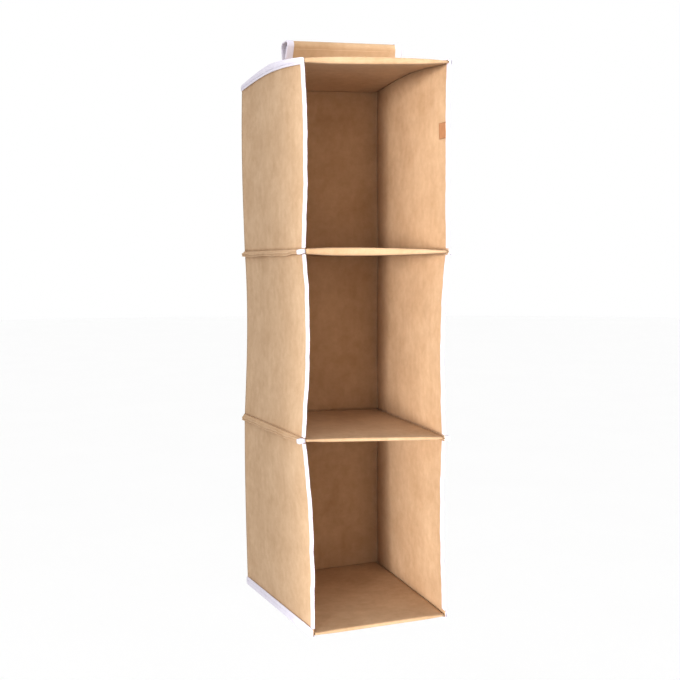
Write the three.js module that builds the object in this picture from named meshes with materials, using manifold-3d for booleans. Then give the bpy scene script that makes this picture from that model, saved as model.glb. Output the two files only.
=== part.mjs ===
// Three-bay hanging organizer in non-woven fabric, hung from a wardrobe rod by a wide strap.
// Millimetres, +Z up, open front towards -Y. The origin is on the rod's centre line, mid-width.
import * as THREE from 'three';
import { mergeVertices } from 'three/addons/utils/BufferGeometryUtils.js';
import Module from 'manifold-3d';

const wasm = await Module();
wasm.setup();

// Driving dimensions.
const WIDTH = 254; // over the outer faces of the side walls
const DEPTH = 305; // front edge to the outer face of the back wall
const BAY_PITCH = 304.8; // shelf to shelf, when the fabric hangs taut
const ROD_RADIUS = 8;
const ROD_DROP = 41; // rod centre line down to the front and back edges of the top panel
const ROOF_RISE = 7; // the hanger pulls the middle of the top panel up by this much
const GAP = 0.3; // between pieces that touch

// Cloth, board and tape thicknesses.
const WALL = 1.5;
const CLOTH = 1.2;
const BOARD = 3;
const PANEL = BOARD + 2 * (CLOTH + GAP); // a board in its sleeve
const STRAP = 1.2;
const TAPE = 0.8; // hook tape and loop tape
const BINDING = 1; // each leg of a folded binding
const LABEL = 0.5;

// Sewn edges.
const SEAM_REACH = 11; // how far a shelf's seam stands out of the wall
const EDGE_TAPE = 10; // front binding, measured back from the front edge
const HEM_DOWN = 6; // outer leg of the top binding, below the top panel's middle
const HEM_UP = 5; // top binding above the top panel's middle, at the corners
const HEM_CREST = 4; // extra height of the top binding at mid-depth
const FOOT_DOWN = 6.5; // bottom binding below the bottom panel's middle
const FOOT_UP = 8.5; // bottom binding above it
const TAB_LIP = 1; // wrapped end of the front binding, over a seam
const TAPE_BREAK = 0.8; // from a tab to the next stretch of front binding

// Hanger loop.
const HANGER_WIDTH = 208;
const HANGER_EDGE = 12; // binding along each end of the loop
const TAPE_WIDTH = 180;
const LOOP_HALF = 16.5; // half the depth of the loop, to the middle of the cloth
const LOOP_CORNER = 8;
const LOOP_LEAN = THREE.MathUtils.degToRad(20.7); // how much the front of the loop leans in
const FLAP_LENGTH = 22; // straight part of the flap, below its front corner
const FOOT_LENGTH = 12; // strap sewn flat on the top panel

// Derived positions.
const HALF_W = WIDTH / 2;
const HALF_D = DEPTH / 2;
const INNER_W = HALF_W - WALL - GAP; // half width of what lies between the side walls
const REAR = HALF_D - WALL - GAP; // rear end of what lies in front of the back wall
const TOP_Z = -ROD_DROP;
const CLOTH_TOP = ROD_RADIUS + 2 * GAP + BINDING / 2 + STRAP / 2 - 0.2;
const CORNER_Y = LOOP_HALF - LOOP_CORNER; // centre of the loop's round corners, front and rear
const CORNER_Z = CLOTH_TOP - LOOP_CORNER;
const CHANNEL = WALL + 2 * (GAP + BINDING); // folded binding around a wall
const CHANNEL_OUT = GAP + BINDING; // its outer face, outside the wall's outer face

const fabric = { color: 0xd3b087, roughness: 0.92, metalness: 0 };
const whiteTape = { color: 0xf3f1f4, roughness: 0.85, metalness: 0 };
const beigeTape = { color: 0xcdb290, roughness: 0.95, metalness: 0 };
const greyBoard = { color: 0xa8977c, roughness: 0.9, metalness: 0 };
const labelCloth = { color: 0xd8ab84, roughness: 0.6, metalness: 0 };

// ---- Solids ---------------------------------------------------------------------------------

function shapeOf(outline) {
  return new THREE.Shape(outline.map(([u, v]) => new THREE.Vector2(u, v)));
}

function extrude(outline, length) {
  return new THREE.ExtrudeGeometry(shapeOf(outline), { depth: length, bevelEnabled: false });
}

/** A (y, z) outline extruded along X between two positions, given in either order. */
function alongX(outline, a, b) {
  const low = Math.min(a, b);
  const turn = new THREE.Matrix4().set(0, 0, 1, low, 1, 0, 0, 0, 0, 1, 0, 0, 0, 0, 0, 1);
  return extrude(outline, Math.abs(b - a)).applyMatrix4(turn);
}

/** An (x, z) outline extruded along Y from one position to a higher one. */
function alongY(outline, low, high) {
  const turn = new THREE.Matrix4().makeRotationX(Math.PI / 2);
  return extrude(outline, high - low).applyMatrix4(turn).translate(0, high, 0);
}

/** An (x, y) outline extruded along Z from one height to a higher one. */
function alongZ(outline, low, high) {
  return extrude(outline, high - low).translate(0, 0, low);
}

function box([x0, x1], [y0, y1], [z0, z1]) {
  const size = [Math.abs(x1 - x0), Math.abs(y1 - y0), Math.abs(z1 - z0)];
  return new THREE.BoxGeometry(...size).translate((x0 + x1) / 2, (y0 + y1) / 2, (z0 + z1) / 2);
}

function toSolid(geometry) {
  const bare = geometry.clone();
  bare.deleteAttribute('normal');
  bare.deleteAttribute('uv');
  const merged = mergeVertices(bare, 1e-4);
  const vertProperties = new Float32Array(merged.attributes.position.array);
  const triVerts = new Uint32Array(merged.index.array);
  return new wasm.Manifold(new wasm.Mesh({ numProp: 3, vertProperties, triVerts }));
}

function fromSolid(solid) {
  const { vertProperties, triVerts } = solid.getMesh();
  const geometry = new THREE.BufferGeometry();
  geometry.setAttribute('position', new THREE.BufferAttribute(vertProperties, 3));
  geometry.setIndex(new THREE.BufferAttribute(triVerts, 1));
  geometry.computeVertexNormals();
  return geometry;
}

function join(...geometries) {
  return fromSolid(geometries.map(toSolid).reduce((all, next) => all.add(next)));
}

function cut(geometry, tool) {
  return fromSolid(toSolid(geometry).subtract(toSolid(tool)));
}

function mesh(name, geometry, look) {
  const piece = new THREE.Mesh(geometry, new THREE.MeshStandardMaterial(look));
  piece.name = name;
  return piece;
}

function groupOf(...children) {
  const group = new THREE.Group();
  group.add(...children);
  return group;
}

// ---- Outlines -------------------------------------------------------------------------------

/** Points on an arc, from one angle to another, both in radians. */
function arc(cu, cv, radius, from, to, steps = 8) {
  const at = (i) => from + ((to - from) * i) / steps;
  return Array.from({ length: steps + 1 }, (_, i) => [
    cu + radius * Math.cos(at(i)),
    cv + radius * Math.sin(at(i)),
  ]);
}

/** A path moved sideways: a positive distance moves it to the left of its direction. */
function offset(path, distance) {
  return path.map((point, i) => {
    const here = new THREE.Vector2(...point);
    const back = new THREE.Vector2(...path[Math.max(i - 1, 0)]);
    const ahead = new THREE.Vector2(...path[Math.min(i + 1, path.length - 1)]);
    const into = (i > 0 ? here.clone().sub(back) : ahead.clone().sub(here)).normalize();
    const out = (i < path.length - 1 ? ahead.clone().sub(here) : into.clone()).normalize();
    const side = new THREE.Vector2(-into.y - out.y, into.x + out.x).normalize();
    const stretch = distance / side.dot(new THREE.Vector2(-into.y, into.x));
    return [here.x + side.x * stretch, here.y + side.y * stretch];
  });
}

/** A path made longer at both ends, along its end stretches. */
function prolong(path, by) {
  const beyond = (end, next) => {
    const point = new THREE.Vector2(...end);
    const step = point.clone().sub(new THREE.Vector2(...next)).setLength(by);
    return point.add(step).toArray();
  };
  return [beyond(path[0], path[1]), ...path, beyond(path.at(-1), path.at(-2))];
}

/** Outline of a cloth of even thickness whose middle follows a path. */
function ribbon(path, thickness) {
  return [...offset(path, thickness / 2), ...offset(path, -thickness / 2).reverse()];
}

/** Height of the top panel's middle at a depth y: a low roof with its ridge at y = 0. */
function roof(y) {
  return TOP_Z + ROOF_RISE * (1 - Math.abs(y) / HALF_D);
}

/** A (y, z) outline between two heights that follow the roof. */
function roofBand(front, rear, lowAt, highAt) {
  const stations = [front, 0, rear];
  const low = stations.map((y) => [y, lowAt(y)]);
  const high = stations.map((y) => [y, highAt(y)]).reverse();
  return [...low, ...high];
}

/** Sleeve of cloth folded round a board's front edge and open at the rear. */
function sleeve(middle) {
  const outer = PANEL / 2;
  const inner = outer - CLOTH;
  const nose = -HALF_D + outer;
  const quarter = Math.PI / 2;
  const foldOut = arc(nose, middle(nose), outer, quarter, 3 * quarter);
  const foldIn = arc(nose, middle(nose), inner, 3 * quarter, quarter);
  const line = (rise, stations) => stations.map((y) => [y, middle(y) + rise]);
  return [
    ...line(outer, [REAR, 0]),
    ...foldOut,
    ...line(-outer, [0, REAR]),
    ...line(-inner, [REAR, 0]),
    ...foldIn,
    ...line(inner, [0, REAR]),
  ];
}

/** U section of a folded binding: the nose at u = 0, open towards +u, centred on v = 0. */
function channel(length) {
  const outer = CHANNEL / 2;
  const inner = outer - BINDING;
  const quarter = Math.PI / 2;
  return [
    [length, outer],
    ...arc(outer, 0, outer, quarter, 3 * quarter, 6),
    [length, -outer],
    [length, -inner],
    [BINDING + GAP, -inner],
    [BINDING + GAP, inner],
    [length, inner],
  ];
}

// ---- Top panel ------------------------------------------------------------------------------

function topBoard(name, front, rear) {
  const half = BOARD / 2;
  const outline = [
    [front, roof(front) - half],
    [rear, roof(rear) - half],
    [rear, roof(rear) + half],
    [front, roof(front) + half],
  ];
  return mesh(name, alongX(outline, -INNER_W + GAP, INNER_W - GAP), greyBoard);
}

/** Upper edge of a top side binding: higher at mid-depth, where the panel is pulled up. */
function hemTop(y) {
  return roof(y) + HEM_UP + HEM_CREST * (1 - Math.abs(y) / HALF_D);
}

/** Binding round the standing seam between the top panel and one side wall. */
function topSideBinding(name, side) {
  const outside = HALF_W + CHANNEL_OUT;
  const front = -HALF_D;
  const rear = REAR - BINDING - GAP;
  const leg = roofBand(front, rear, (y) => roof(y) - HEM_DOWN, hemTop);
  const cap = roofBand(front, rear, (y) => hemTop(y) - CLOTH, hemTop);
  const lip = roofBand(front, rear, (y) => roof(y) + PANEL / 2 + GAP, hemTop);
  return mesh(
    name,
    join(
      alongX(leg, side * outside, side * (outside - BINDING)),
      alongX(cap, side * outside, side * (outside - CHANNEL)),
      alongX(lip, side * (outside - CHANNEL + BINDING), side * (outside - CHANNEL)),
    ),
    whiteTape,
  );
}

/** J section of a binding along an edge of the back wall, for the top or, flipped, the bottom. */
function backBindingOutline(edge, longLeg, shortLeg, way) {
  const outside = HALF_D + CHANNEL_OUT;
  const inside = outside - CHANNEL;
  return [
    [outside, edge],
    [outside, edge - way * longLeg],
    [outside - BINDING, edge - way * longLeg],
    [outside - BINDING, edge - way * CLOTH],
    [inside + BINDING, edge - way * CLOTH],
    [inside + BINDING, edge - way * shortLeg],
    [inside, edge - way * shortLeg],
    [inside, edge],
  ];
}

function makeTop() {
  const reach = HALF_W + CHANNEL_OUT;
  const shortLeg = HEM_UP - PANEL / 2 - GAP;
  const back = backBindingOutline(TOP_Z + HEM_UP, HEM_UP + HEM_DOWN, shortLeg, 1);
  const frontEdge = -HALF_D + PANEL / 2;
  return groupOf(
    mesh('top_cover', alongX(sleeve(roof), -INNER_W, INNER_W), fabric),
    topBoard('top_front_board', frontEdge, -GAP * 5),
    topBoard('top_rear_board', GAP * 5, REAR - GAP),
    topSideBinding('top_left_binding', -1),
    topSideBinding('top_right_binding', 1),
    mesh('top_back_binding', alongX(back, -reach, reach), whiteTape),
  );
}

// ---- Hanger ---------------------------------------------------------------------------------

/** Front of the loop, from the front corner down, in the middle of the flap's cloth. */
function flapFront(length) {
  const corner = arc(-CORNER_Y, CORNER_Z, LOOP_CORNER, Math.PI, Math.PI + LOOP_LEAN, 3);
  const [y, z] = corner.at(-1);
  const end = [y + length * Math.sin(LOOP_LEAN), z - length * Math.cos(LOOP_LEAN)];
  return [...corner, end];
}

/** The flap starts where the rear strap ends, past the rear corner: it bends open on that line. */
function flapPath() {
  const frontCorner = arc(-CORNER_Y, CORNER_Z, LOOP_CORNER, Math.PI / 2, Math.PI);
  return [[CORNER_Y - GAP / 2, CLOTH_TOP], ...frontCorner, ...flapFront(FLAP_LENGTH).slice(1)];
}

/** Where a strap leaves the top panel, in the middle of its cloth. */
function rootOf(y) {
  return [y, roof(y) + PANEL / 2 + GAP + STRAP / 2];
}

function rearPath() {
  const rearCorner = arc(CORNER_Y, CORNER_Z, LOOP_CORNER, -LOOP_LEAN, Math.PI / 2, 10).slice(0, -1);
  return [rootOf(FOOT_LENGTH + 2), rootOf(2), ...rearCorner, [CORNER_Y + GAP / 2, CLOTH_TOP]];
}

/** The front strap lies inside the flap, with both tapes between them. */
function frontPath() {
  const inset = STRAP + 2 * TAPE + 3 * GAP;
  const [, , , top, end] = offset(flapFront(40), inset);
  const foot = rootOf(-2)[1];
  const share = (foot - top[1]) / (end[1] - top[1]);
  const bottom = [top[0] + share * (end[0] - top[0]), foot];
  return [rootOf(-FOOT_LENGTH - 2), bottom, top];
}

/** Straight strip on the inner side of the flap, that far in and that far down from the corner. */
function tapeOutline(inset, from, to) {
  const [, , , top, end] = offset(flapFront(FLAP_LENGTH), inset);
  const at = (share) => [0, 1].map((k) => top[k] + share * (end[k] - top[k]));
  return ribbon([at(from), at(to)], TAPE);
}

/** Folded binding on one end of a strap: it wraps the strap's cut edge. */
function strapBinding(name, path, side) {
  const end = (side * HANGER_WIDTH) / 2;
  const inner = end - side * HANGER_EDGE;
  const cloth = end - side * BINDING;
  const body = alongX(ribbon(path, STRAP + 2 * (GAP + BINDING / 2)), inner, end);
  const slot = alongX(ribbon(prolong(path, 1), STRAP + 2 * GAP), inner - side, cloth);
  return mesh(name, cut(body, slot), whiteTape);
}

function strap(name, path) {
  const half = HANGER_WIDTH / 2 - BINDING - GAP;
  return mesh(name, alongX(ribbon(path, STRAP), -half, half), fabric);
}

function bothEnds(prefix, path) {
  return [
    strapBinding(`${prefix}_left_binding`, path, -1),
    strapBinding(`${prefix}_right_binding`, path, 1),
  ];
}

/** A strap's path without the foot that is sewn to the top panel. */
function aboveFoot(path) {
  const [, low, next, ...rest] = path;
  const lift = 0.08;
  const start = [0, 1].map((k) => low[k] + lift * (next[k] - low[k]));
  return [start, next, ...rest];
}

function makeHanger() {
  const half = TAPE_WIDTH / 2;
  const hookInset = STRAP / 2 + GAP + TAPE / 2;
  const loopInset = hookInset + GAP + TAPE;
  return groupOf(
    strap('hanger_rear_strap', rearPath()),
    strap('hanger_front_strap', frontPath()),
    strap('hanger_flap', flapPath()),
    mesh('hook_tape', alongX(tapeOutline(hookInset, 0.08, 0.96), -half, half), beigeTape),
    mesh('loop_tape', alongX(tapeOutline(loopInset, 0.08, 0.96), -half, half), beigeTape),
    ...bothEnds('rear_strap', aboveFoot(rearPath())),
    ...bothEnds('front_strap', aboveFoot(frontPath())),
    ...bothEnds('flap', flapPath()),
  );
}

// ---- Bays -----------------------------------------------------------------------------------

/** U-shaped binding down the front edge of one side wall. */
function frontBinding(name, side, low, high) {
  const middle = side * (HALF_W - WALL / 2);
  const outline = channel(EDGE_TAPE).map(([u, v]) => [middle + v, u - HALF_D]);
  return mesh(name, alongZ(outline, low, high), whiteTape);
}

/** The two sides and the back of one bay. ends holds the heights of each kind of edge. */
function makeBay(number, ends) {
  const front = -HALF_D + BINDING + GAP;
  const sideOutline = roofBand(front, REAR, () => ends.sideLow, ends.sideHighAt);
  const back = box([-HALF_W, HALF_W], [HALF_D - WALL, HALF_D], [ends.backLow, ends.backHigh]);
  const prefix = `bay_${number}`;
  const wall = (name, side) =>
    mesh(name, alongX(sideOutline, side * HALF_W, side * (HALF_W - WALL)), fabric);
  return groupOf(
    wall(`${prefix}_left_wall`, -1),
    wall(`${prefix}_right_wall`, 1),
    mesh(`${prefix}_back_wall`, back, fabric),
    frontBinding(`${prefix}_left_binding`, -1, ends.tapeLow, ends.tapeHigh),
    frontBinding(`${prefix}_right_binding`, 1, ends.tapeLow, ends.tapeHigh),
  );
}

/** Blank care label, sewn to the inside of the right wall next to the front binding. */
function careLabel() {
  const face = HALF_W - WALL - GAP;
  const front = -HALF_D + EDGE_TAPE + GAP;
  const top = TOP_Z - 94;
  return mesh(
    'care_label',
    box([face - LABEL, face], [front, front + 22], [top - 26, top]),
    labelCloth,
  );
}

// ---- Shelves and bottom ---------------------------------------------------------------------

const flat = () => 0;

function shelfBoard(name) {
  const half = BOARD / 2;
  const front = -HALF_D + PANEL / 2;
  const side = INNER_W - GAP;
  return mesh(name, box([-side, side], [front, REAR - GAP], [-half, half]), greyBoard);
}

/** White end of the front binding, wrapped round the front end of a seam. */
function seamTab(name, side) {
  const inner = HALF_W - WALL;
  const outer = HALF_W + SEAM_REACH + GAP + TAB_LIP;
  const half = PANEL / 2 + GAP + TAB_LIP;
  const behindNose = [TAB_LIP - HALF_D, EDGE_TAPE + 1 - HALF_D];
  const body = box([side * inner, side * outer], [-HALF_D, EDGE_TAPE - HALF_D], [-half, half]);
  const seamRoom = box(
    [side * (inner - 1), side * (outer - TAB_LIP)],
    behindNose,
    [-half + TAB_LIP, half - TAB_LIP],
  );
  const wallRoom = box([side * (inner - 1), side * (HALF_W + GAP)], behindNose, [-half - 1, half + 1]);
  return mesh(name, cut(body, join(seamRoom, wallRoom)), whiteTape);
}

/** Standing seam along one side: the hems of both walls with the shelf's cover between them. */
function sideSeam(name, side) {
  const front = -HALF_D + TAB_LIP + GAP;
  const reach = [side * (HALF_W - WALL), side * (HALF_W + SEAM_REACH)];
  return mesh(name, box(reach, [front, REAR], [-PANEL / 2, PANEL / 2]), fabric);
}

function backSeam(name) {
  const reach = HALF_W + SEAM_REACH;
  const depth = [HALF_D - WALL, HALF_D + SEAM_REACH];
  return mesh(name, box([-reach, reach], depth, [-PANEL / 2, PANEL / 2]), fabric);
}

function makeShelf(number) {
  const prefix = `shelf_${number}`;
  const shelf = groupOf(
    mesh(`${prefix}_cover`, alongX(sleeve(flat), -INNER_W, INNER_W), fabric),
    shelfBoard(`${prefix}_board`),
    sideSeam(`${prefix}_left_seam`, -1),
    sideSeam(`${prefix}_right_seam`, 1),
    backSeam(`${prefix}_back_seam`),
    seamTab(`${prefix}_left_tab`, -1),
    seamTab(`${prefix}_right_tab`, 1),
  );
  shelf.position.z = levelOf(number);
  return shelf;
}

/** Binding round the seam between the bottom panel and one side wall. */
function bottomSideBinding(name, side) {
  const outside = HALF_W + CHANNEL_OUT;
  const inside = outside - CHANNEL;
  const lip = -PANEL / 2 - GAP;
  const outline = [
    [outside, FOOT_UP],
    [outside, -FOOT_DOWN],
    [inside, -FOOT_DOWN],
    [inside, lip],
    [inside + BINDING, lip],
    [inside + BINDING, -FOOT_DOWN + CLOTH],
    [outside - BINDING, -FOOT_DOWN + CLOTH],
    [outside - BINDING, FOOT_UP],
  ].map(([x, z]) => [side * x, z]);
  return mesh(name, alongY(outline, -HALF_D, REAR - BINDING - GAP), whiteTape);
}

function makeBottom() {
  const reach = HALF_W + CHANNEL_OUT;
  const shortLeg = FOOT_DOWN - PANEL / 2 - GAP;
  const back = backBindingOutline(-FOOT_DOWN, FOOT_DOWN + FOOT_UP, shortLeg, -1);
  const bottom = groupOf(
    mesh('bottom_cover', alongX(sleeve(flat), -INNER_W, INNER_W), fabric),
    shelfBoard('bottom_board'),
    bottomSideBinding('bottom_left_binding', -1),
    bottomSideBinding('bottom_right_binding', 1),
    mesh('bottom_back_binding', alongX(back, -reach, reach), whiteTape),
  );
  bottom.position.z = levelOf(3);
  return bottom;
}

/** Height of the middle of a shelf, or of the bottom panel as number 3. */
function levelOf(number) {
  return TOP_Z - number * BAY_PITCH;
}

/** Heights of a bay's edges between two levels, with the top and bottom bays' bound edges. */
function bayEnds(number) {
  const clear = PANEL / 2 + GAP;
  const tabClear = clear + TAB_LIP + TAPE_BREAK;
  const above = levelOf(number - 1);
  const below = levelOf(number);
  const first = number === 1;
  const last = number === 3;
  const crest = (y) => HEM_CREST * (1 - Math.abs(y) / HALF_D);
  return {
    sideHighAt: first ? (y) => roof(y) + PANEL / 2 + crest(y) : () => above - clear,
    backHigh: first ? above + HEM_UP - CLOTH - GAP : above - clear,
    tapeHigh: first ? above - HEM_DOWN - GAP : above - tabClear,
    sideLow: last ? below - PANEL / 2 : below + clear,
    backLow: last ? below - FOOT_DOWN + CLOTH + GAP : below + clear,
    tapeLow: last ? below + FOOT_UP + GAP : below + tabClear,
  };
}

const organizer = groupOf(
  makeHanger(),
  makeTop(),
  ...[1, 2, 3].map((number) => makeBay(number, bayEnds(number))),
  careLabel(),
  makeShelf(1),
  makeShelf(2),
  makeBottom(),
);

export default organizer;
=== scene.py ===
"""A three-bay hanging shoe organizer in non-woven cloth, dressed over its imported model.

Lengths are in metres. +Z is up and the open front faces -Y. The origin is on the centre line of the rod.
"""
import logging
import math
from dataclasses import dataclass, replace
from enum import Enum
from functools import cached_property
from typing import Callable, Iterable, Sequence

import bmesh
import bpy
from mathutils import Matrix, Vector, noise


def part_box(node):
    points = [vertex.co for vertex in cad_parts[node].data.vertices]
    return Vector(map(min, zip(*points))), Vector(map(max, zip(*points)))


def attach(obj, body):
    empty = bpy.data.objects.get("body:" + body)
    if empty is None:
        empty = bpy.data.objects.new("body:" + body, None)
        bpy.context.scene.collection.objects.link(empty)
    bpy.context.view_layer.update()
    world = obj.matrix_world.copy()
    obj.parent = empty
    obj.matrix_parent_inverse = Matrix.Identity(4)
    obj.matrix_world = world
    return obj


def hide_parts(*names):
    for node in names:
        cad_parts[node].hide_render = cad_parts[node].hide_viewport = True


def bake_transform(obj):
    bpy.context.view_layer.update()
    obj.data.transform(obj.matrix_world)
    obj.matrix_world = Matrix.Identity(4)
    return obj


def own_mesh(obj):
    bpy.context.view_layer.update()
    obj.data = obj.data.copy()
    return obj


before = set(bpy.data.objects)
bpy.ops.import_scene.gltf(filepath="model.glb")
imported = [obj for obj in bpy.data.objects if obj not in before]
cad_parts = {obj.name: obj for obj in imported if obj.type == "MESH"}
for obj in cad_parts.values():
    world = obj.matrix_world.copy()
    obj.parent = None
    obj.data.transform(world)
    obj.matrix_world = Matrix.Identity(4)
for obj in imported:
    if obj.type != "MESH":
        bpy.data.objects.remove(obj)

log = logging.getLogger("organizer")
logging.basicConfig(level=logging.INFO, format="%(message)s")

MM = 0.001
Spot = tuple[Vector, Vector, Vector]  # a stitch's place, its direction and the way out of the cloth
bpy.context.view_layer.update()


class Side(Enum):
    """One side of the organizer, with the sign of its x."""

    LEFT = -1
    RIGHT = 1

    @property
    def word(self) -> str:
        """The side's name in a piece's name."""
        return self.name.lower()


# ---- Numbers and curves ------------------------------------------------------------------------


def mix(a: float, b: float, share: float) -> float:
    """A value between a and b, at that share of the way."""
    return a + (b - a) * share


def smooth(value: float, low: float = 0.0, high: float = 1.0) -> float:
    """An eased step from 0 at low to 1 at high."""
    t = min(max((value - low) / (high - low), 0.0), 1.0)
    return t * t * (3 - 2 * t)


def hump(value: float, middle: float, width: float) -> float:
    """A bell curve: 1 at the middle, and about a third at that width from it."""
    return math.exp(-(((value - middle) / width) ** 2))


def steps(low: float, high: float, pitch: float) -> list[float]:
    """Evenly spaced values from low to high, close to that pitch."""
    count = max(1, round(abs(high - low) / pitch))
    return [mix(low, high, i / count) for i in range(count + 1)]


def arc(centre: tuple[float, float], radius: float, start: float, end: float, count: int) -> list[Vector]:
    """Points on an arc in a section's own plane.

    Args:
        centre: The arc's centre.
        radius: Its radius.
        start: Where it starts, in radians.
        end: Where it ends, in radians.
        count: How many stretches it has.

    Returns:
        The points, both ends included.
    """
    angles = [mix(start, end, i / count) for i in range(count + 1)]
    return [Vector((centre[0] + radius * math.cos(a), centre[1] + radius * math.sin(a))) for a in angles]


def run(points: Sequence[Vector], pitch: float) -> list[Vector]:
    """The same line with more points, so that no stretch is much longer than the pitch."""
    out = [points[0]]
    for a, b in zip(points, points[1:]):
        count = max(1, round((b - a).length / pitch))
        out += [a.lerp(b, i / count) for i in range(1, count + 1)]
    return out


def height_of(node: str) -> float:
    """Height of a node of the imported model."""
    low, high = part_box(node)
    return high[2] - low[2]


# ---- How it hangs ------------------------------------------------------------------------------


@dataclass(frozen=True)
class Edge:
    """How one of the four standing edges hangs, as shifts from where it was cut, in millimetres.

    Each of across, forward and up has a value for the top panel, both shelves and the bottom. Each bow is how
    far the edge swings across in the middle of a bay.
    """

    across: tuple[float, float, float, float]
    forward: tuple[float, float, float, float]
    up: tuple[float, float, float, float]
    bow: tuple[float, float, float]


@dataclass(frozen=True)
class Hang:
    """The shape that the whole organizer takes on the rod: every piece is moved by it in the same way."""

    front_left: Edge = Edge((4.5, 5.0, 3.0, 14.0), (0, 0, 0, -9), (-8, 3, 7, -3), (5.0, 7.5, 6.0))
    front_right: Edge = Edge((4.5, 4.5, -1.5, -2.5), (0, 0, 0, -5), (4.6, 1.5, -5, -2), (-1.5, -7.0, -3.5))
    back_left: Edge = Edge((-8.0, -6.5, -10.0, -8.0), (4, 2, 2, 0), (-7.5, 0, 5, -2), (-2.5, 4.5, -1.5))
    back_right: Edge = Edge((4.0, 4.5, 4.0, 2.0), (4, 2, 2, 0), (1, 0, -0.5, 3.5), (-1.5, -2.5, -1.5))
    half_width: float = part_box("bay_1_right_wall")[1][0]
    half_depth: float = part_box("bay_1_back_wall")[1][1]
    pitch: float = (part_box("shelf_1_board")[0][2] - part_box("shelf_2_board")[0][2])
    first: float = (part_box("shelf_1_board")[0][2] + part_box("shelf_1_board")[1][2]) / 2
    ridge_lift: float = 2.8 * MM
    loop_tilt: float = 0.7  # share of the top panel's tilt that is left at the top of the loop
    ripple: float = 0.7 * MM
    roof_rise: float = height_of("top_cover") - height_of("shelf_1_cover")

    @property
    def top(self) -> float:
        """Height of the top panel's front and back edges, before it hangs."""
        return self.first + self.pitch

    def level(self, number: int) -> float:
        """Height of the middle of a shelf, with 0 for the top panel and 3 for the bottom."""
        return self.top - number * self.pitch

    def front(self, side: Side) -> Edge:
        """A side's front edge."""
        return self.front_left if side is Side.LEFT else self.front_right

    def back(self, side: Side) -> Edge:
        """A side's back edge."""
        return self.back_left if side is Side.LEFT else self.back_right

    def edge_shift(self, edge: Edge, z: float) -> Vector:
        """How far a standing edge has moved at a height.

        Args:
            edge: One of the four edges.
            z: The height before it hangs.

        Returns:
            The shift in x, y and z, in metres.
        """
        down = min(max((self.top - z) / self.pitch, 0.0), 2.9999)
        bay = int(down)
        share = down - bay
        swing = edge.bow[bay] * math.sin(math.pi * share**0.85)
        x, y, up = (mix(row[bay], row[bay + 1], share) for row in (edge.across, edge.forward, edge.up))
        return Vector((x + swing, y, up)) * MM

    def ripples(self, co: Vector) -> Vector:
        """Small waves that the bound edges take between their stitches."""
        near_wall = smooth(abs(co.x), 0.8 * self.half_width, self.half_width)
        near_front = smooth(-co.y, 0.55 * self.half_depth, self.half_depth)
        in_bay = abs(math.sin(math.pi * (self.top - co.z) / self.pitch))
        wave = noise.noise(Vector((co.x * 3, 7.0, co.z * 31)))
        wave += 0.5 * noise.noise(Vector((co.x * 3, 3.0, co.z * 74)))
        return Vector((self.ripple * wave * near_wall * near_front * min(1.0, 2 * in_bay) * 1.6, 0, 0))

    def arch(self, co: Vector) -> float:
        """How much the top panel's straight roof is rounded and lifted."""
        across = min(abs(co.y) / self.half_depth, 1.0)
        rise = self.roof_rise
        rounded = rise * (math.cos(across * math.pi / 2) - (1 - across)) + self.ridge_lift * (1 - across**1.6)
        return rounded * smooth(co.z, self.top - 0.25 * self.pitch, self.top - 0.01)

    def roof(self, y: float) -> float:
        """Height of the top panel's middle at a depth, before it hangs."""
        return self.top + self.roof_rise * (1 - min(abs(y) / self.half_depth, 1.0))

    def place(self, co: Vector) -> Vector:
        """Where a point of the cut shape ends up on the hanging organizer.

        Args:
            co: The point as cut.

        Returns:
            The point as it hangs.
        """
        right = min(max(0.5 + co.x / (2 * self.half_width), 0.0), 1.0)
        back = min(max(0.5 + co.y / (2 * self.half_depth), 0.0), 1.0)
        front = self.edge_shift(self.front_left, co.z).lerp(self.edge_shift(self.front_right, co.z), right)
        rear = self.edge_shift(self.back_left, co.z).lerp(self.edge_shift(self.back_right, co.z), right)
        shift = front.lerp(rear, back)
        above = smooth(co.z, self.top + 0.012, 0.006)
        shift.z *= mix(1.0, self.loop_tilt, above)
        shift.z += self.arch(co)
        if co.z > self.top + 0.012:
            shift.x *= 1 - above
            shift.y *= 1 - above
        return co + shift + self.ripples(co)


HANG = Hang()

# Cloth and tape.
CLOTH = 1.0 * MM
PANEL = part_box("shelf_1_cover")[1][2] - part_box("shelf_1_cover")[0][2]
STITCH_PITCH = 3.6 * MM


# ---- Meshes ------------------------------------------------------------------------------------


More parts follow.
